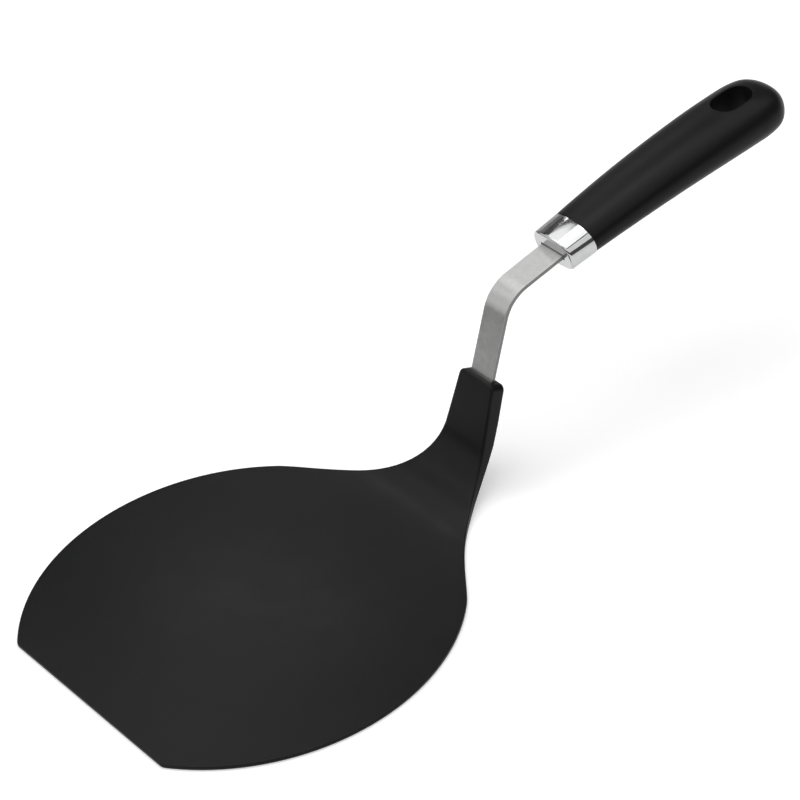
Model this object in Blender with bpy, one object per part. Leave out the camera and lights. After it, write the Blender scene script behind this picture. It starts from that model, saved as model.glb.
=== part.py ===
"""Cake lifter: a moulded nylon blade, a bent steel shank, a chrome ferrule and a hollow grip.

Metres, +Z up. The blade lies flat on z = 0 with the centre of its round plate at the
origin, its straight front edge towards -Y and the grip towards +Y. The whole lifter is
the same on both sides of the plane x = 0.
"""
from math import atan2, cos, hypot, pi, radians, sin, sqrt, tan

import bmesh
import bpy
from mathutils import Matrix, Vector

# Running sizes
seat_gap = 0.0003
cut_overrun = 0.002

# Blade plate
plate_radius = 0.092
front_edge_cut = 0.0155
front_edge_setback = plate_radius - front_edge_cut
front_corner_radius = 0.004
rim_thickness = 0.0018
crown_height = 0.0034
edge_rounding = 0.0005

# Neck and socket of the blade, measured along the moulding
waist_start_angle = radians(45.8)
waist_start_reach = 0.014
waist_end_reach = 0.0332
bend_inset = 0.0047
bend_start = plate_radius - bend_inset
bend_radius = 0.0364
neck_slope = radians(67.2)
socket_length = 0.0233
socket_end_width = 0.0214
socket_side_taper = radians(4.9)
socket_side_length = 0.0259
socket_thickness = 0.0071
socket_wedge_angle = radians(1.9)
socket_corner_radius = 0.0028
under_bend_radius = 0.0406

# Shank
strip_width = 0.0134
strip_thickness = 0.002
strip_depth_in_socket = 0.0035
strip_buried_length = 0.019
lower_leg_length = 0.0374
upper_leg_length = 0.0295
strip_bend_radius = 0.017
upper_leg_slope = radians(10.5)
strip_edge_rounding = 0.0002
tang_length = 0.032
tang_end_width = 0.01
key_hole_diameter = 0.006
socket_key_depth = 0.011
tang_key_depth = 0.013

# Ferrule
ferrule_length = 0.012
ferrule_wall = 0.0008
ferrule_front_width = 0.0243
ferrule_front_height = 0.0151
ferrule_rear_width = 0.0267
ferrule_rear_height = 0.0157
ferrule_edge_rounding = 0.0009
oval_power = 2.3

# Grip
grip_axis_radius = 0.74
grip_length = 0.1138
grip_end_length = 0.0135
grip_end_power = 1.8
grip_widths = (0.0263, 0.0288, 0.031, 0.0325, 0.0322)
grip_heights = (0.0153, 0.0172, 0.0193, 0.0211, 0.0216)
grip_station_shares = (0.0, 0.21, 0.455, 0.7, 0.9)
grip_wall = 0.0022
tang_block_length = 0.02
hollow_end_gap = 0.003
hanging_hole_width = 0.0128
hanging_hole_length = 0.0193
hanging_hole_setback = 0.0228
hanging_hole_centre = grip_length - hanging_hole_setback
hanging_hole_rounding = 0.0008

# Facets
smooth_angle = radians(50)
plate_arc_steps = 40
corner_steps = 4
waist_steps = 22
side_steps = 3
blade_columns = 8
strip_bend_steps = 10
oval_steps = 44
grip_steps = 22
end_steps = 8
hollow_oval_steps = 24
hollow_steps = 8
hole_steps = 12
rounding_steps = 2


def clear_scene():
    for obj in list(bpy.data.objects):
        bpy.data.objects.remove(obj, do_unlink=True)


def material(name, colour, roughness, metallic=0.0):
    made = bpy.data.materials.new(name)
    made.use_nodes = True
    shader = made.node_tree.nodes["Principled BSDF"]
    shader.inputs["Base Color"].default_value = (*colour, 1.0)
    shader.inputs["Roughness"].default_value = roughness
    shader.inputs["Metallic"].default_value = metallic
    return made


def place(name, bm, finish=None):
    """The finished bmesh as an object, smooth except at its real edges."""
    bmesh.ops.recalc_face_normals(bm, faces=bm.faces)
    mesh = bpy.data.meshes.new(name)
    bm.to_mesh(mesh)
    bm.free()
    mesh.shade_smooth()
    mesh.set_sharp_from_angle(angle=smooth_angle)
    obj = bpy.data.objects.new(name, mesh)
    bpy.context.scene.collection.objects.link(obj)
    if finish is not None:
        mesh.materials.append(finish)
    return obj


def loft(rings):
    """A closed body through rings of points that all hold as many points."""
    bm = bmesh.new()
    loops = [[bm.verts.new(point) for point in ring] for ring in rings]
    for one, following in zip(loops, loops[1:]):
        for i in range(len(one)):
            j = (i + 1) % len(one)
            bm.faces.new((one[i], one[j], following[j], following[i]))
    bm.faces.new(reversed(loops[0]))
    bm.faces.new(loops[-1])
    return bm


def round_edges(obj, width, name):
    bevel = obj.modifiers.new(name, "BEVEL")
    bevel.width = width
    bevel.segments = rounding_steps
    bevel.limit_method = "ANGLE"
    bevel.angle_limit = smooth_angle


def cut(obj, cutter, name):
    cutter.hide_render = True
    cutter.display_type = "WIRE"
    boolean = obj.modifiers.new(name, "BOOLEAN")
    boolean.operation = "DIFFERENCE"
    boolean.solver = "EXACT"
    boolean.object = cutter


def rise(start, start_height, radius, slope, run):
    """Where a level line has come to, and how steep it is, once it has bent upwards.

    Run is measured along the line, from the start of the bend.
    """
    turned = min(max(run / radius, 0.0), slope)
    straight = run - radius * turned
    y = start + radius * sin(turned) + straight * cos(turned)
    z = start_height + radius * (1 - cos(turned)) + straight * sin(turned)
    return y, z, turned


def top_line_length():
    return bend_radius * neck_slope + socket_length


def top_line(run):
    """The blade's upper face along x = 0, without its crown."""
    return rise(bend_start, rim_thickness, bend_radius, neck_slope, run)


def under_line():
    """Start and length of the blade's underside, from its bend to the socket's end.

    Its last stretch closes on the upper face like a wedge, and the end face is square to
    the upper face.
    """
    end_y, end_z, slope = top_line(top_line_length())
    end_y += socket_thickness * sin(slope)
    end_z -= socket_thickness * cos(slope)
    slope = neck_slope - socket_wedge_angle
    corner = end_y - end_z / tan(slope)
    tangent = under_bend_radius * tan(slope / 2)
    straight = sqrt((end_y - corner) ** 2 + end_z ** 2) - tangent
    return corner - tangent, under_bend_radius * slope + straight


def plate_corner():
    """Centre of the arc that rounds a front corner, from the plate's centre."""
    y = front_corner_radius - front_edge_setback
    return sqrt((plate_radius - front_corner_radius) ** 2 - y ** 2), y


def arc(centre, radius, first, last, steps):
    return [
        (centre[0] + radius * cos(angle), centre[1] + radius * sin(angle))
        for angle in (first + (last - first) * i / steps for i in range(steps + 1))
    ]


def cubic(start, start_reach, start_angle, end, end_reach, end_angle, steps):
    """A cubic curve that leaves and meets its ends in the given directions."""
    a = Vector(start)
    b = a + start_reach * Vector((cos(start_angle), sin(start_angle)))
    d = Vector(end)
    c = d - end_reach * Vector((cos(end_angle), sin(end_angle)))
    points = []
    for i in range(steps + 1):
        t = i / steps
        s = 1 - t
        points.append(tuple(s ** 3 * a + 3 * s * s * t * b + 3 * s * t * t * c + t ** 3 * d))
    return points


def blade_outline():
    """Half width and distance along the moulding, from the front edge to the socket's end.

    Distances run from the plate's centre. Past the bend they follow the upper face, so
    the outline is that of the flat sheet before it is bent up.
    """
    corner = plate_corner()
    corner_angle = atan2(corner[1], corner[0])
    points = arc(corner, front_corner_radius, -pi / 2, corner_angle, corner_steps)
    centre = (0.0, 0.0)
    points += arc(centre, plate_radius, corner_angle, waist_start_angle, plate_arc_steps)[1:]
    end = bend_start + top_line_length()
    side_start = end - socket_side_length
    half_end = socket_end_width / 2
    side_half = half_end + socket_side_length * tan(socket_side_taper)
    points += cubic(
        points[-1],
        waist_start_reach,
        waist_start_angle + pi / 2,
        (side_half, side_start),
        waist_end_reach,
        pi / 2 + socket_side_taper,
        waist_steps,
    )[1:]
    inset = socket_corner_radius * (1 - sin(socket_side_taper)) / cos(socket_side_taper)
    corner = (half_end - inset, end - socket_corner_radius)
    rounded = arc(corner, socket_corner_radius, socket_side_taper, pi / 2, corner_steps)
    first = rounded[0]
    for i in range(1, side_steps):
        share = i / side_steps
        points.append(
            (
                side_half + (first[0] - side_half) * share,
                side_start + (first[1] - side_start) * share,
            )
        )
    return points + rounded


def crown_at(along):
    """How much of the crown the blade has at this distance: none at the front edge, all
    at the plate's centre, none where the neck begins."""
    reach = front_edge_setback if along < 0 else bend_start
    return crown_height * max(0.0, 1 - (along / reach) ** 2)


def rounding_drop(inside):
    """How far the rounded edge falls away at this distance inside the outline."""
    left = max(0.0, edge_rounding - inside)
    return edge_rounding - sqrt(edge_rounding ** 2 - left ** 2)


def blade_section(half_width, along, squareness, under_start, under_length):
    """Upper and lower points of one cross-section of the blade, each from left to right.

    Squareness is 1 where the outline runs along the blade and 0 where it runs across.
    """
    run = along - bend_start
    if run > 0:
        y, z, slope = top_line(run)
        lead = bend_start - under_start
        under_run = lead + (under_length - lead) * run / top_line_length()
        under_slope = neck_slope - socket_wedge_angle
        under_y, under_z, _ = rise(under_start, 0.0, under_bend_radius, under_slope, under_run)
    else:
        y, z, slope = along, rim_thickness, 0.0
        under_y, under_z = along, 0.0
    thickness = Vector((0, y - under_y, z - under_z))
    through = thickness.normalized()
    from_ends = min(along + front_edge_setback, bend_start + top_line_length() - along)
    upper = []
    lower = []
    for column in blade_column_places(half_width):
        drop = rounding_drop(min(from_ends, (half_width - abs(column)) * squareness))
        bulge = crown_at(along) * (1 - (column / half_width) ** 2)
        top = Vector((column, y - bulge * sin(slope), z + bulge * cos(slope)))
        upper.append(top - drop * through)
        lower.append(Vector((column, under_y, under_z)) + drop * through)
    return upper, lower


def blade_column_places(half_width):
    """Places across the blade: close together at the rounded rims, even between them."""
    rim = [half_width - edge_rounding * (1 - cos(pi / 2 * i / rounding_steps)) for i in range(rounding_steps)]
    inner = half_width - edge_rounding
    places = [-place for place in rim]
    places += [inner * (2 * i / blade_columns - 1) for i in range(blade_columns + 1)]
    return places + rim[::-1]


def make_blade(finish):
    """Cross-sections along the outline, joined from the front edge to the socket's end."""
    under_start, under_length = under_line()
    outline = blade_outline()
    bm = bmesh.new()
    stations = []
    for i, (half_width, along) in enumerate(outline):
        before = outline[max(i - 1, 0)]
        after = outline[min(i + 1, len(outline) - 1)]
        squareness = (after[1] - before[1]) / hypot(after[0] - before[0], after[1] - before[1])
        upper, lower = blade_section(half_width, along, squareness, under_start, under_length)
        stations.append([bm.verts.new(point) for point in upper + lower[::-1]])
    count = len(stations[0])
    for one, following in zip(stations, stations[1:]):
        for i in range(count):
            j = (i + 1) % count
            bm.faces.new((one[i], one[j], following[j], following[i]))
    for ring in (stations[0], stations[-1]):
        for i in range(count // 2 - 1):
            bm.faces.new((ring[i], ring[i + 1], ring[count - 2 - i], ring[count - 1 - i]))
    blade = place("blade", bm, finish)
    mouth = strip_start()
    pocket = strip_pocket("socket pocket", mouth, neck_slope, -strip_buried_length, cut_overrun)
    leave_key(pocket, "socket key", mouth, neck_slope, -socket_key_depth, socket_thickness)
    cut(blade, pocket, "strip pocket")
    return blade


def strip_start():
    """Where the strip leaves the socket, on the socket's end face."""
    y, z, slope = top_line(top_line_length())
    return Vector((0, y + strip_depth_in_socket * sin(slope), z - strip_depth_in_socket * cos(slope)))


def direction(slope):
    return Vector((0, cos(slope), sin(slope)))


def strip_corner():
    """Where the middles of the strip's two legs would meet without the bend."""
    return strip_start() + lower_leg_length * direction(neck_slope)


def ferrule_front():
    return strip_corner() + upper_leg_length * direction(upper_leg_slope)


def strip_ring(middle, slope, half_width, half_thickness):
    across = Vector((1, 0, 0))
    up = Vector((0, -sin(slope), cos(slope)))
    corners = ((-1, -1), (1, -1), (1, 1), (-1, 1))
    return [middle + side * half_width * across + face * half_thickness * up for side, face in corners]


def strip_path():
    """Middle and slope at each station of the strip, from its buried end to the tang's end."""
    turn = neck_slope - upper_leg_slope
    tangent = strip_bend_radius * tan(turn / 2)
    corner = strip_corner()
    stations = [(strip_start() - (strip_buried_length - seat_gap) * direction(neck_slope), neck_slope)]
    bend_first = corner - tangent * direction(neck_slope)
    centre = bend_first + strip_bend_radius * Vector((0, sin(neck_slope), -cos(neck_slope)))
    for i in range(strip_bend_steps + 1):
        slope = neck_slope - turn * i / strip_bend_steps
        stations.append((centre + strip_bend_radius * Vector((0, -sin(slope), cos(slope))), slope))
    front = ferrule_front()
    stations.append((front + ferrule_length * direction(upper_leg_slope), upper_leg_slope))
    stations.append((front + tang_length * direction(upper_leg_slope), upper_leg_slope))
    return stations


def key_bar(name, middle, slope, diameter, depth):
    """A round bar through the strip's thickness, centred on it."""
    bm = bmesh.new()
    bmesh.ops.create_cone(
        bm,
        cap_ends=True,
        segments=2 * hole_steps,
        radius1=diameter / 2,
        radius2=diameter / 2,
        depth=depth,
    )
    bm.transform(Matrix.Translation(middle) @ Matrix.Rotation(slope, 4, "X"))
    return place(name, bm)


def strip_pocket(name, origin, slope, first, last):
    """The straight space that a moulding or a cap leaves for the strip."""
    half_width = strip_width / 2 + seat_gap
    half_thickness = strip_thickness / 2 + seat_gap
    rings = []
    for run in (first, last):
        middle = origin + run * direction(slope)
        rings.append(strip_ring(middle, slope, half_width, half_thickness))
    return place(name, loft(rings))


def leave_key(pocket, name, origin, slope, run, height):
    """Keeps the moulded plug that fills one of the strip's key holes."""
    middle = origin + run * direction(slope)
    diameter = key_hole_diameter - 2 * seat_gap
    cut(pocket, key_bar(name, middle, slope, diameter, height), "key left standing")


def make_shank(finish):
    rings = []
    path = strip_path()
    for middle, slope in path[:-1]:
        rings.append(strip_ring(middle, slope, strip_width / 2, strip_thickness / 2))
    middle, slope = path[-1]
    rings.append(strip_ring(middle, slope, tang_end_width / 2, strip_thickness / 2))
    shank = place("shank", loft(rings), finish)
    round_edges(shank, strip_edge_rounding, "broken edges")
    depth = strip_thickness + 2 * cut_overrun
    low = strip_start() - socket_key_depth * direction(neck_slope)
    low_bar = key_bar("socket key bar", low, neck_slope, key_hole_diameter, depth)
    cut(shank, low_bar, "socket key hole")
    high = ferrule_front() + tang_key_depth * direction(upper_leg_slope)
    high_bar = key_bar("tang key bar", high, upper_leg_slope, key_hole_diameter, depth)
    cut(shank, high_bar, "tang key hole")
    return shank


def oval_ring(middle, slope, half_width, half_height, steps=oval_steps):
    """A ring between an ellipse and a rounded rectangle, square to the grip's axis."""
    points = []
    for i in range(steps):
        angle = 2 * pi * i / steps
        across = half_width * signed_power(cos(angle), 2 / oval_power)
        up = half_height * signed_power(sin(angle), 2 / oval_power)
        points.append(middle + Vector((across, -up * sin(slope), up * cos(slope))))
    return points


def signed_power(value, power):
    size = abs(value) ** power
    return size if value >= 0 else -size


def ferrule_ring(run, inset):
    """An oval of the ferrule at this distance behind its front face."""
    share = run / ferrule_length
    width = ferrule_front_width + (ferrule_rear_width - ferrule_front_width) * share
    height = ferrule_front_height + (ferrule_rear_height - ferrule_front_height) * share
    middle = ferrule_front() + run * direction(upper_leg_slope)
    return oval_ring(middle, upper_leg_slope, width / 2 - inset, height / 2 - inset)


def make_ferrule(finish):
    """A drawn cap: its wall is followed from the inside of the front face, out round the
    open rear rim and back to the rounded front edge."""
    rings = [ferrule_ring(ferrule_wall, ferrule_wall), ferrule_ring(ferrule_length, ferrule_wall)]
    rings.append(ferrule_ring(ferrule_length, 0.0))
    for i in range(rounding_steps + 1):
        angle = pi / 2 * i / rounding_steps
        run = ferrule_edge_rounding * (1 - sin(angle))
        rings.append(ferrule_ring(run, ferrule_edge_rounding * (1 - cos(angle))))
    ferrule = place("ferrule", loft(rings), finish)
    through = ferrule_wall + cut_overrun
    slot = strip_pocket("ferrule slot", ferrule_front(), upper_leg_slope, -cut_overrun, through)
    cut(ferrule, slot, "strip slot")
    return ferrule


def grip_axis(run):
    """Middle and slope of the grip at this distance behind the ferrule's rear rim."""
    slope = upper_leg_slope - run / grip_axis_radius
    start = ferrule_front() + ferrule_length * direction(upper_leg_slope)
    centre = start + grip_axis_radius * Vector((0, sin(upper_leg_slope), -cos(upper_leg_slope)))
    return centre + grip_axis_radius * Vector((0, -sin(slope), cos(slope))), slope


def between(shares, values, share):
    """A smooth value between hand-set ones: a Hermite curve through them."""
    last = len(shares) - 1
    slopes = []
    for i in range(last + 1):
        low = max(i - 1, 0)
        high = min(i + 1, last)
        slopes.append((values[high] - values[low]) / (shares[high] - shares[low]))
    if share >= shares[last]:
        return values[last]
    i = max(k for k in range(last) if shares[k] <= share)
    step = shares[i + 1] - shares[i]
    t = (share - shares[i]) / step
    return (
        (1 + 2 * t) * (1 - t) ** 2 * values[i]
        + t * (1 - t) ** 2 * step * slopes[i]
        + t * t * (3 - 2 * t) * values[i + 1]
        - t * t * (1 - t) * step * slopes[i + 1]
    )


def grip_half_sizes(run):
    """Half width and half height of the grip, closing to a rounded end."""
    share = run / grip_length
    closing = max(0.0, (run - (grip_length - grip_end_length)) / grip_end_length)
    left = max(0.0, 1 - closing ** grip_end_power) ** (1 / grip_end_power)
    width = between(grip_station_shares, grip_widths, share)
    height = between(grip_station_shares, grip_heights, share)
    return left * width / 2, left * height / 2


def grip_ring(run, inset=0.0, steps=oval_steps):
    middle, slope = grip_axis(run)
    half_width, half_height = grip_half_sizes(run)
    return oval_ring(middle, slope, half_width - inset, half_height - inset, steps)


def grip_outside():
    """The spigot inside the ferrule, the shoulder behind it, and the body to its end."""
    spigot_inset = ferrule_wall + seat_gap
    rings = [
        ferrule_ring(ferrule_wall + seat_gap, spigot_inset),
        ferrule_ring(ferrule_length + seat_gap, spigot_inset),
    ]
    body_end = grip_length - grip_end_length
    for i in range(grip_steps + 1):
        rings.append(grip_ring(seat_gap + (body_end - seat_gap) * i / grip_steps))
    for i in range(1, end_steps + 1):
        run = body_end + grip_end_length * sin(pi / 2 * i / (end_steps + 1))
        rings.append(grip_ring(run))
    return rings


def hollow_cutter():
    """The hollow of the grip, from behind the tang's block to just before the hole."""
    first = tang_block_length - ferrule_length
    last = hanging_hole_centre - hanging_hole_length / 2 - hollow_end_gap
    rings = []
    for i in range(hollow_steps + 1):
        rings.append(grip_ring(first + (last - first) * i / hollow_steps, grip_wall, hollow_oval_steps))
    return place("grip hollow", loft(rings))


def hole_outline(radius):
    """A slot with round ends, along the grip."""
    straight = (hanging_hole_length - hanging_hole_width) / 2
    outline = arc((0.0, straight), radius, 0.0, pi, hole_steps)
    return outline + arc((0.0, -straight), radius, pi, 2 * pi, hole_steps)


def grip_surface(side, x, y):
    """A point on the grip's upper or lower surface, in the axes of the hole's middle."""
    run = hanging_hole_centre + y
    half_width, half_height = grip_half_sizes(run)
    up = half_height * (1 - (abs(x) / half_width) ** oval_power) ** (1 / oval_power)
    fall = y * y / (2 * grip_axis_radius)
    return Vector((x, y, side * up - fall))


def hole_cutter():
    """The hanging hole through the grip's height, with both of its rims rounded."""
    middle, slope = grip_axis(hanging_hole_centre)
    turn = Matrix.Translation(middle) @ Matrix.Rotation(slope, 4, "X")
    radius = hanging_hole_width / 2
    levels = [(hanging_hole_rounding, -cut_overrun)]
    for i in range(rounding_steps + 1):
        angle = pi / 2 * i / rounding_steps
        wider = hanging_hole_rounding * (1 - sin(angle))
        levels.append((wider, hanging_hole_rounding * (1 - cos(angle))))
    rings = []
    for side, order in ((-1, levels), (1, levels[::-1])):
        for wider, depth in order:
            base = hole_outline(radius)
            wide = hole_outline(radius + wider)
            heights = [grip_surface(side, x, y).z - side * depth for x, y in base]
            rings.append([turn @ Vector((x, y, z)) for (x, y), z in zip(wide, heights)])
    return place("hanging hole", loft(rings))


def make_grip(finish):
    grip = place("grip", loft(grip_outside()), finish)
    cut(grip, hollow_cutter(), "hollow")
    front = ferrule_front()
    slot = strip_pocket("tang slot", front, upper_leg_slope, 0.0, tang_length + seat_gap)
    leave_key(slot, "tang key", front, upper_leg_slope, tang_key_depth, ferrule_front_height)
    cut(grip, slot, "tang slot")
    cut(grip, hole_cutter(), "hanging hole")
    return grip


def main():
    clear_scene()
    nylon = material("black nylon", (0.018, 0.018, 0.018), 0.45)
    steel = material("satin stainless steel", (0.56, 0.55, 0.53), 0.32, 1.0)
    chrome = material("polished chrome", (0.82, 0.82, 0.82), 0.06, 1.0)
    plastic = material("black handle plastic", (0.02, 0.02, 0.02), 0.38)
    make_blade(nylon)
    make_shank(steel)
    make_ferrule(chrome)
    make_grip(plastic)


main()
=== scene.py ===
from math import asin, atan2, cos, pi, radians, sin, sqrt, tan

import bmesh
import bpy
from mathutils import Matrix, Vector


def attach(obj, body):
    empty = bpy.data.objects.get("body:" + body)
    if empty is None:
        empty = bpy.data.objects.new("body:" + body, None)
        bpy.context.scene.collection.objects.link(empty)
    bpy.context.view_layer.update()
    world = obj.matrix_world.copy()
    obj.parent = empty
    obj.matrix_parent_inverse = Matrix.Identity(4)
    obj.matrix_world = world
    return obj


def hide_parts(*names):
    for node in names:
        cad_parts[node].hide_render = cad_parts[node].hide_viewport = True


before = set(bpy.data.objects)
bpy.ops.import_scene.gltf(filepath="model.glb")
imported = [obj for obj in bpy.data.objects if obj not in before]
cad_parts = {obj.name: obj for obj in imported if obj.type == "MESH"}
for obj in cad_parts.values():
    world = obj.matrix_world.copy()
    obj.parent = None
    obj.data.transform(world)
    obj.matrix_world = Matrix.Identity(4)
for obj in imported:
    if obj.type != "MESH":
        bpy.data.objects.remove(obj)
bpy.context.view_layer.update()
bpy.ops.object.select_all(action="DESELECT")


# Blade
# A round plate with a straight front edge, the neck that sweeps up behind it and the socket
# at its end: one moulding of black nylon with a fine matte texture. Its face is slightly
# crowned, its rims are rounded, and the steel is moulded into the socket.
plate_radius = 0.092
front_edge_y = -0.0765
rim_thickness = 0.0018
crown = 0.0034
bend_y = 0.0873
bend_radius = 0.0364
neck_slope = radians(67.2)
under_bend_y = 0.0907
under_bend_radius = 0.0406
under_slope = radians(65.3)
socket_length = 0.0233
socket_side = 0.0259
socket_half_width = 0.0107
socket_taper = radians(4.9)
waist_angle = radians(45.8)
waist_start_reach = 0.014
waist_end_reach = 0.0332
crown_run_out = 1.7
front_corner = 0.0012
socket_corner = 0.0025
rim_rounding = 0.001
plate_rim_share = 0.5
neck_run = bend_radius * neck_slope + socket_length
blade_columns = 16
front_steps = 22
plate_steps = 18
waist_steps = 28
socket_steps = 3
touch = 0.00001


def work_on(obj):
    """Make one object the only selected and active one."""
    bpy.ops.object.select_all(action="DESELECT")
    obj.select_set(True)
    bpy.context.view_layer.objects.active = obj


def pick(kind, test):
    """Select the vertices, edges or faces of the mesh in edit mode that pass the test."""
    bpy.ops.mesh.select_all(action="DESELECT")
    mesh = bpy.context.object.data
    modes = ("verts", "edges", "faces")
    bpy.context.tool_settings.mesh_select_mode = [kind == mode for mode in modes]
    bm = bmesh.from_edit_mesh(mesh)
    for item in getattr(bm, kind):
        item.select_set(not item.hide and test(item))
    bmesh.update_edit_mesh(mesh)


def apply_modifiers(obj):
    """Apply an object's modifiers to its mesh, in their order."""
    work_on(obj)
    for modifier in list(obj.modifiers):
        bpy.ops.object.modifier_apply(modifier=modifier.name)


def crown_at(y):
    """Height of the crowned face: it ends at the front edge, and runs out softly at the neck."""
    if y < 0:
        return crown * (1 - (y / front_edge_y) ** 2)
    return crown * max(0, 1 - (y / bend_y) ** 2) ** crown_run_out


def plate_arc(way, angle, steps):
    """Stations (y, half width) round the plate from its widest place, forwards or backwards."""
    turns = [angle * i / steps for i in range(steps + 1)]
    return [(way * plate_radius * sin(turned), plate_radius * cos(turned)) for turned in turns]


def waist_at(t):
    """The waist's outline, from the plate (t = 0) to the straight side of the socket."""
    side = socket_half_width + socket_side * tan(socket_taper)
    a = plate_radius * Vector((cos(waist_angle), sin(waist_angle)))
    b = a + waist_start_reach * Vector((-sin(waist_angle), cos(waist_angle)))
    d = Vector((side, bend_y + neck_run - socket_side))
    c = d - waist_end_reach * Vector((-sin(socket_taper), cos(socket_taper)))
    s = 1 - t
    return s ** 3 * a + 3 * s * s * t * b + 3 * s * t * t * c + t ** 3 * d


def depth_at(y):
    """Thickness of the moulding, square to its upper face, at this place on the flat sheet."""
    turned = min(max(y - bend_y, 0) / bend_radius, neck_slope)
    if turned == 0:
        return rim_thickness
    ahead = y - bend_y - bend_radius * turned
    top = Vector((bend_y, rim_thickness + bend_radius))
    down = Vector((sin(turned), -cos(turned)))
    top += bend_radius * down + ahead * Vector((cos(turned), sin(turned)))
    centre = Vector((under_bend_y, under_bend_radius))
    b = (top - centre).dot(down)
    depth = sqrt(b * b - (top - centre).length_squared + under_bend_radius ** 2) - b
    hit = top + depth * down - centre
    angle = atan2(hit.x, -hit.y)
    if angle < 0:
        return top.y / cos(turned)
    if angle < under_slope:
        return depth
    face = Vector((sin(under_slope), -cos(under_slope)))
    return (centre + under_bend_radius * face - top).dot(face) / down.dot(face)


def draw_out(stations):
    """Extrude the selected end of the blade through (y, half width) stations."""
    y, half = stations[0]
    for next_y, next_half in stations[1:]:
        centre = (0, next_y, rim_thickness)
        bpy.ops.mesh.extrude_region_move(TRANSFORM_OT_translate={"value": (0, next_y - y, 0)})
        bpy.ops.transform.resize(value=(next_half / half, 1, 1), center_override=centre)
        if crown_at(y) != crown_at(next_y):
            pick("verts", lambda v: abs(v.co.y - next_y) < touch and v.co.z > rim_thickness - touch)
            lift = crown_at(next_y) / crown_at(y)
            bpy.ops.transform.resize(value=(1, 1, lift), center_override=centre)
        if depth_at(y) != depth_at(next_y):
            pick("verts", lambda v: abs(v.co.y - next_y) < touch and v.co.z < rim_thickness / 2)
            bpy.ops.transform.translate(value=(0, 0, depth_at(y) - depth_at(next_y)))
        pick("faces", lambda f: all(abs(v.co.y - next_y) < touch for v in f.verts))
        y, half = next_y, next_half


half_thick = rim_thickness / 2
bpy.ops.mesh.primitive_plane_add(size=2, rotation=(pi / 2, 0, 0), location=(0, 0, half_thick))
blade = bpy.context.object
blade.name = "blade_moulding"
blade.scale = (plate_radius, half_thick, 1)
bpy.ops.object.transform_apply(location=True, rotation=True, scale=True)
bpy.ops.object.mode_set(mode="EDIT")
pick("edges", lambda e: abs(e.verts[0].co.z - e.verts[1].co.z) < touch)
bpy.ops.mesh.subdivide(number_cuts=blade_columns - 1)
pick("verts", lambda v: v.co.z < half_thick)
bpy.ops.mesh.hide()
pick("verts", lambda v: abs(v.co.x) < touch)
bpy.ops.transform.translate(
    value=(0, 0, crown),
    use_proportional_edit=True,
    proportional_edit_falloff="INVERSE_SQUARE",
    proportional_size=plate_radius,
)
bpy.ops.mesh.reveal(select=False)
pick("faces", lambda f: True)
draw_out(plate_arc(-1, asin(-front_edge_y / plate_radius), front_steps))
rear = plate_arc(1, waist_angle, plate_steps)
rear += [tuple(reversed(waist_at(i / waist_steps))) for i in range(1, waist_steps + 1)]
socket_end = bend_y + neck_run
for i in range(1, socket_steps + 1):
    left = socket_side * (1 - i / socket_steps)
    rear.append((socket_end - left, socket_half_width + left * tan(socket_taper)))
pick("faces", lambda f: all(abs(v.co.y) < touch for v in f.verts))
draw_out(rear)
pick("faces", lambda f: True)
bpy.ops.mesh.normals_make_consistent(inside=False)


def is_upright_at(edge, y):
    """An edge along the moulding's thickness, at its very side."""
    one, other = edge.verts
    side = abs(one.co.x - other.co.x) < touch and abs(one.co.z - other.co.z) > touch
    here = abs(one.co.y - y) < touch and abs(other.co.y - y) < touch
    return side and here and edge.calc_face_angle(0) > radians(23)


def ends_column(edge):
    """An edge that meets the socket's end one column in from the corner, not along the rim."""
    one, other = (v.co for v in edge.verts)
    column = socket_half_width * (1 - 2 / blade_columns)
    meets = any(
        abs(co.y - socket_end) < touch and abs(abs(co.x) - column) < touch for co in (one, other)
    )
    return meets and abs(one.x - other.x) < socket_half_width / 10


def bend_up(obj, place, angle, limits):
    """Bend a piece that lies along Y upwards from a place, between two shares of its length."""
    bpy.ops.object.empty_add(location=place, rotation=(pi / 2, 0, pi / 2))
    hinge = bpy.context.object
    bend = obj.modifiers.new("bend", "SIMPLE_DEFORM")
    bend.deform_method = "BEND"
    bend.deform_axis = "Z"
    bend.origin = hinge
    bend.angle = angle
    bend.limits = limits
    apply_modifiers(obj)
    bpy.data.objects.remove(hinge)


pick("edges", ends_column)
bpy.ops.mesh.dissolve_edges(use_verts=True)
pick("edges", lambda e: is_upright_at(e, front_edge_y))
bpy.ops.mesh.bevel(offset=front_corner, segments=4, affect="EDGES")
pick("edges", lambda e: is_upright_at(e, socket_end))
bpy.ops.mesh.bevel(offset=socket_corner, segments=6, affect="EDGES")
bpy.ops.object.mode_set(mode="OBJECT")
# The rims are rounded in full on the thick neck and half as much on the thin plate.
weights = blade.data.attributes.new("bevel_weight_edge", "FLOAT", "EDGE")
bm = bmesh.new()
bm.from_mesh(blade.data)
for edge in bm.edges:
    if edge.calc_face_angle() > radians(50):
        y = (edge.verts[0].co.y + edge.verts[1].co.y) / 2
        grown = min(max((y - bend_y) / bend_radius, 0), 1)
        weights.data[edge.index].value = plate_rim_share + (1 - plate_rim_share) * grown
bm.free()
rounding = blade.modifiers.new("rim rounding", "BEVEL")
rounding.limit_method = "WEIGHT"
rounding.width = rim_rounding
rounding.segments = 4
whole = socket_end - front_edge_y
bend_share = (bend_y - front_edge_y) / whole
neck_share = bend_share + bend_radius * neck_slope / whole
bend_up(blade, (0, bend_y, rim_thickness), neck_slope, (bend_share, neck_share))


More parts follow.
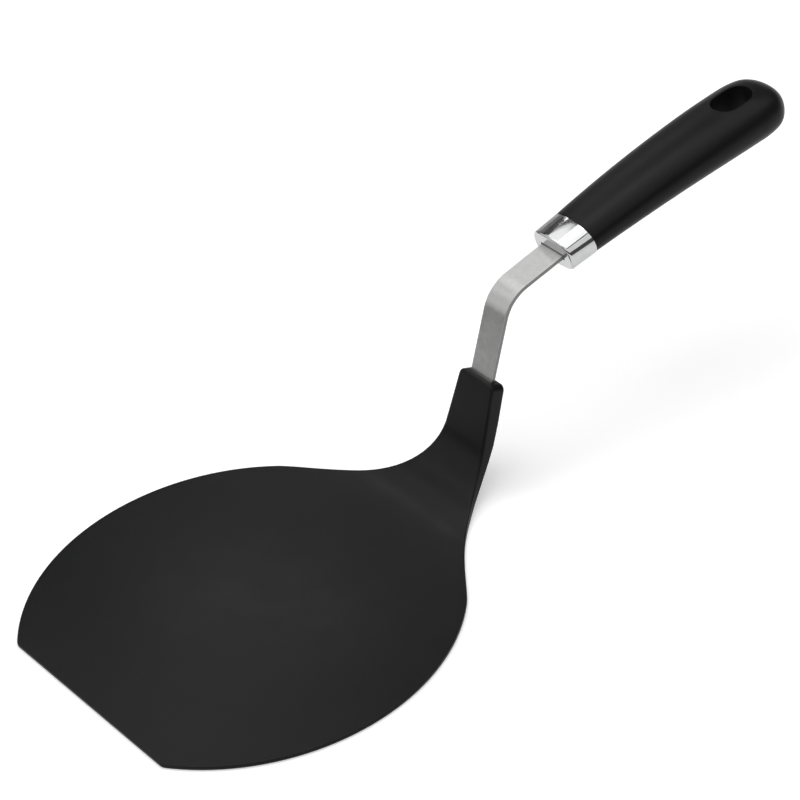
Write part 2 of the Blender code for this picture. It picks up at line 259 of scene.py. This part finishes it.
def strip_box(name, middle, slope, length, clearance):
    """A box as wide and thick as the steel strip, with a clearance all round."""
    bpy.ops.mesh.primitive_cube_add(size=1, location=middle, rotation=(slope - pi / 2, 0, 0))
    box = bpy.context.object
    box.name = name
    box.scale = (strip_width + 2 * clearance, strip_thickness + 2 * clearance, length)
    bpy.ops.object.transform_apply(location=True, rotation=True, scale=True)
    return box


def cut_with(obj, cutter):
    """Cut the shape of one object out of another, and remove the cutter."""
    cut = obj.modifiers.new("cut", "BOOLEAN")
    cut.operation = "DIFFERENCE"
    cut.solver = "EXACT"
    cut.object = cutter
    apply_modifiers(obj)
    bpy.data.objects.remove(cutter)


strip_width = 0.0134
strip_thickness = 0.002
strip_depth = 0.0035
strip_gap = 0.00012
pocket_length = 0.02
pocket_overrun = 0.001
up_neck = Vector((0, cos(neck_slope), sin(neck_slope)))
into_neck = Vector((0, sin(neck_slope), -cos(neck_slope)))
mouth = Vector((0, bend_y, rim_thickness + bend_radius)) + bend_radius * into_neck
mouth += socket_length * up_neck + strip_depth * into_neck
pocket_middle = mouth - (pocket_length / 2 - pocket_overrun) * up_neck
cut_with(blade, strip_box("socket pocket", pocket_middle, neck_slope, pocket_length, strip_gap))
work_on(blade)
bpy.ops.object.shade_smooth_by_angle(angle=radians(35))
blade.modifiers.new("face weighted shading", "WEIGHTED_NORMAL").keep_sharp = True
apply_modifiers(blade)


def new_material(name, metallic=0.0):
    """A material whose patterns are laid out in metres on the piece itself."""
    made = bpy.data.materials.new(name)
    made.use_nodes = True
    shader = made.node_tree.nodes["Principled BSDF"]
    shader.inputs["Metallic"].default_value = metallic
    place = made.node_tree.nodes.new("ShaderNodeTexCoord").outputs["Object"]
    return made, shader, place


def join(output, socket):
    """Link one node's output to another's input, or to the shader's."""
    socket.id_data.links.new(output, socket)


def noise(place, size, detail, stretch=(1, 1, 1)):
    """Cloudy noise whose blotches are about this size, drawn out along an axis if wanted."""
    tree = place.id_data
    mapping = tree.nodes.new("ShaderNodeMapping")
    mapping.inputs["Scale"].default_value = stretch
    texture = tree.nodes.new("ShaderNodeTexNoise")
    texture.inputs["Scale"].default_value = 1 / size
    texture.inputs["Detail"].default_value = detail
    join(place, mapping.inputs["Vector"])
    join(mapping.outputs["Vector"], texture.inputs["Vector"])
    return texture.outputs["Fac"]


def spread(value, low, high, dark=0.3, light=0.7):
    """Map the noise between its dark and light level to a range of roughness or colour."""
    ramp = value.id_data.nodes.new("ShaderNodeMapRange")
    for name, level in zip(("From Min", "From Max", "To Min", "To Max"), (dark, light, low, high)):
        ramp.inputs[name].default_value = level
    join(value, ramp.inputs["Value"])
    return ramp.outputs["Result"]


def blend(factor, first, second):
    """One colour into another; each is a colour or the output of an earlier blend."""
    mix = factor.id_data.nodes.new("ShaderNodeMix")
    mix.data_type = "RGBA"
    join(factor, mix.inputs["Factor"])
    for colour, name in ((first, "A_Color"), (second, "B_Color")):
        socket = next(s for s in mix.inputs if s.identifier == name)
        if isinstance(colour, tuple):
            socket.default_value = (*colour, 1)
        else:
            join(colour, socket)
    return next(s for s in mix.outputs if s.identifier == "Result_Color")


def edge_highlight_mask(tree, radius):
    """Where the surface turns sharply, from 0 on the faces to 1 along an edge: where an edge gets a
    painted highlight.
    """
    rounded = tree.nodes.new("ShaderNodeBevel")
    rounded.samples = 4
    rounded.inputs["Radius"].default_value = radius
    true = tree.nodes.new("ShaderNodeNewGeometry")
    compare = tree.nodes.new("ShaderNodeVectorMath")
    compare.operation = "DOT_PRODUCT"
    join(rounded.outputs["Normal"], compare.inputs[0])
    join(true.outputs["Normal"], compare.inputs[1])
    return spread(compare.outputs["Value"], 0, 1, 0.995, 0.93)


def add_bump(shader, height, depth, strength, under=None):
    """Relief of this depth on a shader, over an earlier relief if there is one."""
    bump = shader.id_data.nodes.new("ShaderNodeBump")
    bump.inputs["Distance"].default_value = depth
    bump.inputs["Strength"].default_value = strength
    join(height, bump.inputs["Height"])
    if under:
        join(under, bump.inputs["Normal"])
    join(bump.outputs["Normal"], shader.inputs["Normal"])
    return bump.outputs["Normal"]


nylon_dark, nylon_pale = (0.0072, 0.0072, 0.0075), (0.0084, 0.0084, 0.0087)
nylon_speck, nylon_edge_highlight = (0.0092, 0.0092, 0.0095), (0.018, 0.018, 0.0184)
nylon, shader, place = new_material("black nylon")
cloud = spread(noise(place, 0.03, 4), 0, 1)
speck = spread(noise(place, 0.0006, 2), 0, 1)
tone = blend(cloud, nylon_dark, nylon_pale)
tone = blend(speck, tone, nylon_speck)
# Painted highlight: the nylon is painted paler along its sharp edges.
tone = blend(edge_highlight_mask(nylon.node_tree, 0.0006), tone, nylon_edge_highlight)
join(tone, shader.inputs["Base Color"])
join(spread(noise(place, 0.012, 3), 0.29, 0.34), shader.inputs["Roughness"])
shader.inputs["Specular IOR Level"].default_value = 0.13
grain = add_bump(shader, noise(place, 0.0007, 2), 0.00002, 0.3)
add_bump(shader, noise(place, 0.012, 2), 0.00005, 0.3, grain)
blade.data.materials.append(nylon)
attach(blade, "root")
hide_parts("blade")


# Shank
# A strip of stainless steel, 13.4 mm wide and 2 mm thick, bent once in an easy curve and
# brushed to a satin finish. The nylon is moulded round its lower end; its upper end runs
# through the ferrule into the grip.
lower_leg = 0.0374
upper_leg = 0.0295
arm_slope = radians(10.5)
strip_bend_radius = 0.017
buried_length = 0.018
past_mouth = 0.002
tang_length = 0.03
edge_break = 0.00028
along_arm = Vector((0, cos(arm_slope), sin(arm_slope)))
elbow = mouth + lower_leg * up_neck
ferrule_front = elbow + upper_leg * along_arm
setback = strip_bend_radius * tan((neck_slope - arm_slope) / 2)
strip_start = mouth - buried_length * up_neck

bpy.ops.mesh.primitive_plane_add(size=2, location=strip_start, rotation=(neck_slope - pi / 2, 0, 0))
shank = bpy.context.object
shank.name = "steel_shank"
shank.scale = (strip_width / 2, strip_thickness / 2, 1)
bpy.ops.object.transform_apply(location=True, rotation=True, scale=True)
bpy.ops.object.mode_set(mode="EDIT")
bpy.ops.mesh.select_all(action="SELECT")
for end in (mouth + past_mouth * up_neck, elbow - setback * up_neck):
    bpy.ops.mesh.extrude_region_move(TRANSFORM_OT_translate={"value": end - strip_start})
    strip_start = end
centre = strip_start + strip_bend_radius * into_neck
bpy.ops.mesh.spin(steps=16, angle=neck_slope - arm_slope, center=centre, axis=(1, 0, 0))
to_tang = ferrule_front + tang_length * along_arm - (elbow + setback * along_arm)
bpy.ops.mesh.extrude_region_move(TRANSFORM_OT_translate={"value": to_tang})
bpy.ops.mesh.select_all(action="SELECT")
bpy.ops.mesh.remove_doubles(threshold=touch)
bpy.ops.mesh.normals_make_consistent(inside=False)
bpy.ops.object.mode_set(mode="OBJECT")
broken = shank.modifiers.new("broken edges", "BEVEL")
broken.width = edge_break
broken.segments = 3
broken.limit_method = "ANGLE"
broken.angle_limit = radians(50)
apply_modifiers(shank)
bpy.ops.object.shade_smooth_by_angle(angle=radians(35))
shank.modifiers.new("face weighted shading", "WEIGHTED_NORMAL").keep_sharp = True
apply_modifiers(shank)

steel_dark, steel_pale = (0.43, 0.429, 0.426), (0.5, 0.499, 0.495)
steel_side_shade, steel_edge_highlight = (0.19, 0.189, 0.186), (0.62, 0.618, 0.61)
steel, shader, place = new_material("satin stainless steel", 1.0)
mottle = noise(place, 0.0022, 4)
streaks = noise(place, 0.0004, 2, (1, 0.03, 0.03))
# The two narrow sides, which face left and right, are painted darker than the faces: painted shade.
sides = steel.node_tree.nodes.new("ShaderNodeSeparateXYZ")
join(place.node.outputs["Normal"], sides.inputs["Vector"])
facing = steel.node_tree.nodes.new("ShaderNodeMath")
facing.operation = "ABSOLUTE"
join(sides.outputs["X"], facing.inputs[0])
painted_side_shade = spread(facing.outputs["Value"], 0, 1, 0.75, 0.95)
tone = blend(spread(mottle, 0, 1), steel_dark, steel_pale)
tone = blend(painted_side_shade, tone, steel_side_shade)
# Painted highlight: the steel is painted paler along its edges.
tone = blend(edge_highlight_mask(steel.node_tree, 0.0003), tone, steel_edge_highlight)
join(tone, shader.inputs["Base Color"])
join(spread(mottle, 0.3, 0.4), shader.inputs["Roughness"])
fine = add_bump(shader, streaks, 0.00001, 0.4)
add_bump(shader, mottle, 0.00002, 0.3, fine)
shank.data.materials.append(steel)
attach(shank, "root")
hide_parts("shank")


# Ferrule
# A cap drawn from thin sheet, chromed and polished to a mirror. It is pushed over the front of
# the grip, and the steel comes out through the slot in its flat face.
grip_start = 0.012
ferrule_length = 0.0127
ferrule_wall = 0.0008
front_half = (0.01205, 0.0073)
slot_gap = 0.0005
rear_half = (0.0134, 0.0079)
ferrule_rounding = 0.0011
face_margin = 0.00015
slot_depth = 0.004
ferrule_sides = 96
oval_fullness = 0.6395
face_fullness = 0.79
round_fullness = 0.5523


def add_oval(name, sides, half_sizes, fullness=oval_fullness):
    """A flat ring between an ellipse and a rounded rectangle, in the XY plane."""
    bpy.ops.curve.primitive_bezier_circle_add(radius=1, location=(0, 0, 0))
    oval = bpy.context.object
    oval.name = name
    oval.data.resolution_u = sides // 4
    for point in oval.data.splines[0].bezier_points:
        point.handle_left_type = "FREE"
        point.handle_right_type = "FREE"
        point.handle_left = point.co + fullness / round_fullness * (point.handle_left - point.co)
        point.handle_right = point.co + fullness / round_fullness * (point.handle_right - point.co)
    bpy.ops.object.convert(target="MESH")
    oval = bpy.context.object
    oval.scale = (*half_sizes, 1)
    bpy.ops.object.transform_apply(location=True, rotation=True, scale=True)
    return oval


def extrude_ring(old, new):
    """Extrude the selected ring from one (z, half width, half height) to another."""
    bpy.ops.mesh.extrude_edges_move(TRANSFORM_OT_translate={"value": (0, 0, new[0] - old[0])})
    stretch = (new[1] / old[1], new[2] / old[2], 1)
    bpy.ops.transform.resize(value=stretch, center_override=(0, 0, new[0]))


def lay_down(obj):
    """Turn an upright piece so that it lies along Y, and apply the turn."""
    work_on(obj)
    obj.rotation_euler = (pi / 2, 0, pi)
    bpy.ops.object.transform_apply(location=True, rotation=True, scale=True)


def lay_along_arm(obj, place):
    """Tilt a piece that lies along Y to the slope of the arm, and move it to its place."""
    work_on(obj)
    obj.location = place
    obj.rotation_euler = (arm_slope, 0, 0)
    bpy.ops.object.transform_apply(location=True, rotation=True, scale=True)


ferrule_rear = add_oval("ferrule rear", ferrule_sides, rear_half)
ferrule_rear.location = (0, 0, ferrule_length)
ferrule = add_oval("chrome_ferrule", ferrule_sides, front_half, face_fullness)
ferrule_rear.select_set(True)
bpy.ops.object.join()
bpy.ops.object.mode_set(mode="EDIT")
pick("edges", lambda e: True)
bpy.ops.mesh.bridge_edge_loops()
pick("edges", lambda e: all(abs(v.co.z - ferrule_length) < touch for v in e.verts))
rings = [(ferrule_length, *rear_half)]
rings.append((ferrule_length, rear_half[0] - ferrule_wall, rear_half[1] - ferrule_wall))
rings.append((ferrule_wall, front_half[0] - ferrule_wall, front_half[1] - ferrule_wall))
for old, new in zip(rings, rings[1:]):
    extrude_ring(old, new)
bpy.ops.mesh.edge_face_add()
pick("edges", lambda e: all(abs(v.co.z) < touch for v in e.verts))
bpy.ops.mesh.edge_face_add()
pick("faces", lambda f: True)
bpy.ops.mesh.normals_make_consistent(inside=False)
pick("edges", lambda e: all(abs(v.co.z) < touch for v in e.verts))
bpy.ops.mesh.bevel(offset=ferrule_rounding, segments=6, affect="EDGES")
pick(
    "faces",
    lambda f: len(f.verts) > ferrule_sides / 2 and all(abs(v.co.z) < touch for v in f.verts),
)
bpy.ops.mesh.inset(thickness=face_margin)
bpy.ops.object.mode_set(mode="OBJECT")
lay_down(ferrule)
lay_along_arm(ferrule, ferrule_front)
cut_with(ferrule, strip_box("ferrule slot", ferrule_front, arm_slope, slot_depth, slot_gap))
work_on(ferrule)
bpy.ops.object.shade_smooth_by_angle(angle=radians(30))
ferrule.modifiers.new("face weighted shading", "WEIGHTED_NORMAL").keep_sharp = True
apply_modifiers(ferrule)

chrome_dark, chrome_pale = (0.5, 0.503, 0.507), (0.56, 0.563, 0.567)
chrome, shader, place = new_material("polished chrome", 1.0)
smudges = noise(place, 0.004, 5)
tone = blend(spread(smudges, 0, 1), chrome_dark, chrome_pale)
join(tone, shader.inputs["Base Color"])
join(spread(smudges, 0.03, 0.09, 0.4, 0.75), shader.inputs["Roughness"])
add_bump(shader, noise(place, 0.006, 2), 0.00002, 0.2)
ferrule.data.materials.append(chrome)
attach(ferrule, "root")
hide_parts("ferrule")


# Grip
# A black plastic handle moulded round the end of the steel, oval and thicker towards its
# rounded end, curving gently down, with a long hanging hole through it.
grip_bend_radius = 0.74
oval_power = 2.3
swell = 1.0115
hole_middle = 0.091
hole_row = 0.0032
hole_shoulder = 0.0057
hole_reach = 0.00655
hole_rim = 0.0008
hole_room = (0.0778, 0.1043)
hole_room_half_width = 0.0095
hole_room_inset = 0.0008
grip_sides = 24
spigot = [(-0.009, 0.012, 0.0065), (0.0008, 0.012, 0.0065)]
stations = [
    (0.0008, 0.01295, 0.00745),
    (0.0012, 0.01315, 0.00765),
    (0.006, 0.01345, 0.0079),
    (0.015, 0.0139, 0.00825),
    (0.0239, 0.0144, 0.0086),
    (0.0375, 0.01497, 0.00915),
    (0.0518, 0.0155, 0.00965),
    (0.0645, 0.0159, 0.0101),
    (0.0735, 0.01615, 0.0104),
    (hole_room[0], 0.0162, 0.0105),
    (hole_middle - hole_shoulder, 0.01627, 0.01066),
    (hole_middle - hole_row, 0.01625, 0.0107),
    (hole_middle + hole_row, 0.0162, 0.01078),
    (hole_middle + hole_shoulder, 0.0162, 0.0108),
    (hole_room[1], 0.0153, 0.0102),
    (0.1077, 0.0131, 0.0088),
    (0.1105, 0.0102, 0.0069),
    (0.1126, 0.0064, 0.0043),
    (0.1135, 0.0026, 0.0018),
]


def oval_height(x, z):
    """Half height of the grip's cage at a place across and along it."""
    for (z0, w0, h0), (z1, w1, h1) in zip(stations, stations[1:]):
        if z0 <= z <= z1:
            share = (z - z0) / (z1 - z0)
            width, height = w0 + share * (w1 - w0), h0 + share * (h1 - h0)
    return swell * height * (1 - abs(x / swell / width) ** oval_power) ** (1 / oval_power)


def hole_point(i, reach):
    """Place i of 18 round the long hole, from its rear tip."""
    end = 1 if i < 5 or i > 13 else -1
    turned = radians(22.5) * (i - (i > 4) - (i > 13))
    return reach * sin(turned), hole_middle + end * hole_row + reach * cos(turned)


def is_in_hole_room(face, side):
    """A face of the cage that makes room for the hole, on the upper or the lower side."""
    first, last = hole_room
    along = all(first - touch < v.co.z < last + touch for v in face.verts)
    across = all(abs(v.co.x) < hole_room_half_width for v in face.verts)
    return along and across and all(side * v.co.y > 0 for v in face.verts)


def shape_loop(side, reach, depth):
    """Move the selected loop onto the hole's outline at a depth under the face, and select it."""
    bm = bmesh.from_edit_mesh(bpy.context.object.data)
    loop = [v.co.copy() for v in bm.verts if v.select]
    loop.sort(key=lambda co: (atan2(co.x, co.z - hole_middle) + 0.01) % (2 * pi))
    targets = []
    for i, co in enumerate(loop):
        x, z = hole_point(i, reach)
        targets.append(Vector((x, side * (oval_height(x, z) - depth), z)))
        pick("verts", lambda v: (v.co - co).length < touch / 10)
        bpy.ops.transform.translate(value=targets[-1] - co)
    pick("edges", lambda e: all(any((v.co - t).length < touch for t in targets) for v in e.verts))


grip = add_oval("handle_grip", grip_sides, spigot[0][1:])
bpy.ops.object.mode_set(mode="EDIT")
bpy.ops.mesh.select_all(action="SELECT")
bpy.ops.transform.translate(value=(0, 0, spigot[0][0]))
bpy.ops.mesh.fill_grid(span=grip_sides // 4)
pick("edges", lambda e: len(e.link_faces) == 1)
rings = spigot + [(z, swell * width, swell * height) for z, width, height in stations]
for old, new in zip(rings, rings[1:]):
    extrude_ring(old, new)
bpy.ops.mesh.fill_grid(span=grip_sides // 4)
for side in (1, -1):
    pick("faces", lambda f: is_in_hole_room(f, side))
    bpy.ops.mesh.inset(thickness=hole_room_inset)
    bpy.ops.mesh.delete(type="FACE")
    pick("edges", lambda e: len(e.link_faces) == 1 and side * e.verts[0].co.y > 0)
    shape_loop(side, hole_reach + hole_rim, 0)
    inwards = (0, -side * hole_rim / 3, 0)
    for depth in (0, hole_rim):
        bpy.ops.mesh.extrude_edges_move(TRANSFORM_OT_translate={"value": inwards})
        shape_loop(side, hole_reach, depth)
pick("edges", lambda e: len(e.link_faces) == 1)
bpy.ops.mesh.bridge_edge_loops()
bpy.ops.mesh.select_all(action="SELECT")
bpy.ops.mesh.normals_make_consistent(inside=False)
bpy.ops.object.mode_set(mode="OBJECT")
lay_down(grip)
smooth = grip.modifiers.new("smooth", "SUBSURF")
smooth.levels = 3
smooth.render_levels = 3
apply_modifiers(grip)
reaches = [v.co.y for v in grip.data.vertices]
front_y, rear_y = min(reaches), max(reaches)
bend_up(grip, (0, 0, 0), -rear_y / grip_bend_radius, (-front_y / (rear_y - front_y), 1))
lay_along_arm(grip, ferrule_front + grip_start * along_arm)
bpy.ops.object.shade_smooth()

plastic_dark, plastic_pale = (0.0072, 0.0072, 0.0074), (0.0084, 0.0084, 0.0086)
plastic_speck = (0.0092, 0.0092, 0.0094)
plastic, shader, place = new_material("black handle plastic")
cloud = spread(noise(place, 0.02, 4), 0, 1)
speck = spread(noise(place, 0.0005, 2), 0, 1)
tone = blend(cloud, plastic_dark, plastic_pale)
tone = blend(speck, tone, plastic_speck)
join(tone, shader.inputs["Base Color"])
join(spread(noise(place, 0.01, 3), 0.34, 0.39), shader.inputs["Roughness"])
shader.inputs["Specular IOR Level"].default_value = 0.13
grain = add_bump(shader, noise(place, 0.0007, 2), 0.00002, 0.3)
add_bump(shader, noise(place, 0.01, 2), 0.00004, 0.3, grain)
grip.data.materials.append(plastic)
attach(grip, "root")
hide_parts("grip")


# Camera and stage
# The photograph's own viewing angle, a plain white floor and a light grey paper behind it, lit
# by wide softboxes overhead and towards the camera, with four smaller ones round the object.
# A black card at the left and a white one behind shape what the chrome mirrors.
camera_place = (1.01765, -0.55627, 0.9717)
camera_lens = 167.988
turn, tilt, roll = radians(57.5291), radians(37.2024), radians(-9.4358)
floor_size = 16
floor_drop = 0.0001
floor_glow = 0.38
backdrop_radius = 2.6
backdrop_height = 1.7

bpy.ops.object.camera_add(location=camera_place)
camera = bpy.context.object
right = Vector((cos(turn), sin(turn), 0))
up = Vector((-sin(turn) * sin(tilt), cos(turn) * sin(tilt), cos(tilt)))
back = right.cross(up)
across = cos(roll) * right + sin(roll) * up
upward = cos(roll) * up - sin(roll) * right
camera.rotation_euler = Matrix((across, upward, back)).transposed().to_euler()
camera.data.lens = camera_lens
scene = bpy.context.scene
scene.camera = camera
scene.view_settings.view_transform = "Standard"


def matte_paper(name, blotch, low, high):
    """Matte paper or card whose grey is faintly uneven."""
    made, shader, place = new_material(name)
    tone = blend(spread(noise(place, blotch, 2), 0, 1), (low, low, low), (high, high, high))
    join(tone, shader.inputs["Base Color"])
    shader.inputs["Roughness"].default_value = 0.9
    return made, shader


bpy.ops.mesh.primitive_grid_add(
    x_subdivisions=8, y_subdivisions=8, size=floor_size, location=(0, 0, -floor_drop)
)
floor = bpy.context.object
floor.name = "floor"
paper, shader = matte_paper("white paper", 0.4, 0.82, 0.84)
shader.inputs["Specular IOR Level"].default_value = 0.1
# The floor is lifted to white where the camera, metal or glass sees it, and lights nothing.
tree = paper.node_tree
light_path = tree.nodes.new("ShaderNodeLightPath")
glow = tree.nodes.new("ShaderNodeEmission")
seen = light_path.outputs["Is Camera Ray"]
for ray in ("Is Glossy Ray", "Is Transmission Ray"):
    either = tree.nodes.new("ShaderNodeMath")
    either.operation = "MAXIMUM"
    join(seen, either.inputs[0])
    join(light_path.outputs[ray], either.inputs[1])
    seen = either.outputs["Value"]
lift = tree.nodes.new("ShaderNodeMath")
lift.operation = "MULTIPLY"
lift.inputs[1].default_value = floor_glow
join(seen, lift.inputs[0])
join(lift.outputs["Value"], glow.inputs["Strength"])
add = tree.nodes.new("ShaderNodeAddShader")
join(shader.outputs["BSDF"], add.inputs[0])
join(glow.outputs["Emission"], add.inputs[1])
join(add.outputs["Shader"], tree.nodes["Material Output"].inputs["Surface"])
floor.data.materials.append(paper)

# The backdrop stands in an arc behind the object and to its left.
away = Vector((-sin(turn), cos(turn), 0))
left_back = (away - right).normalized()
bpy.ops.mesh.primitive_circle_add(vertices=96, radius=backdrop_radius, location=(0, 0, 0))
backdrop = bpy.context.object
backdrop.name = "backdrop"
bpy.ops.object.mode_set(mode="EDIT")
pick("verts", lambda v: v.co.normalized().dot(left_back) < 0.2)
bpy.ops.mesh.delete(type="VERT")
pick("edges", lambda e: True)
bpy.ops.mesh.extrude_edges_move(TRANSFORM_OT_translate={"value": (0, 0, backdrop_height)})
bpy.ops.object.mode_set(mode="OBJECT")
bpy.ops.object.shade_smooth()
grey_paper, _ = matte_paper("light grey paper", 0.4, 0.86, 0.88)
backdrop.data.materials.append(grey_paper)


def add_card(name, place, facing, half_sizes, low, high):
    """A card that only reflections see: it neither shows itself nor changes the light."""
    bpy.ops.mesh.primitive_plane_add(size=2, location=place, rotation=(pi / 2, 0, facing))
    card = bpy.context.object
    card.name = name
    card.scale = (*half_sizes, 1)
    bpy.ops.object.transform_apply(location=True, rotation=True, scale=True)
    cardboard, _ = matte_paper(name.replace("_", " "), 0.05, low, high)
    card.data.materials.append(cardboard)
    card.visible_camera = False
    card.visible_shadow = False
    card.visible_diffuse = False


left_of_shank = Vector((0, 0.14, 0.05)) - 0.4 * right
add_card("black_card", left_of_shank, turn - pi / 2, (0.25, 0.05), 0.03, 0.04)
behind_ferrule = Vector((0, 0.18, 0.165)) + 0.587 * away - 0.13 * right
add_card("white_card", behind_ferrule, turn, (0.07, 0.12), 0.85, 0.87)

world = bpy.data.worlds.new("studio")
scene.world = world
world.use_nodes = True
dim_room = world.node_tree.nodes["Background"]
dim_room.inputs["Color"].default_value = (0.1, 0.1, 0.1, 1)
dim_room.inputs["Strength"].default_value = 1


def add_softbox(name, place, width, height, power):
    """A rectangular area light that faces the middle of the object."""
    bpy.ops.object.light_add(type="AREA", location=place)
    lamp = bpy.context.object
    lamp.name = name
    lamp.rotation_euler = (middle - Vector(place)).to_track_quat("-Z", "Y").to_euler()
    lamp.data.shape = "RECTANGLE"
    lamp.data.size = width
    lamp.data.size_y = height
    lamp.data.energy = power


middle = Vector((0, 0.1, 0.03))
sky = Vector((0, 0, 1))
add_softbox("overhead softbox", middle + 0.3 * away + 1.5 * sky, 3.2, 1.0, 16.5)
add_softbox("front softbox", middle - 0.9 * away + 1.5 * sky, 3.2, 1.2, 12)
add_softbox("back softbox", middle + 1.4 * away - 0.13 * right + 1.2 * sky, 0.4, 0.25, 1.1)
add_softbox("side softbox", middle + 0.85 * away - 0.47 * right + 1.34 * sky, 0.6, 0.6, 1.7)
add_softbox("left softbox", middle + 0.25 * away - 1.5 * right + 0.8 * sky, 1.2, 1.3, 3.6)
add_softbox("key softbox", middle + 0.4 * away + 0.1 * right + 1.2 * sky, 0.28, 0.28, 0.8)
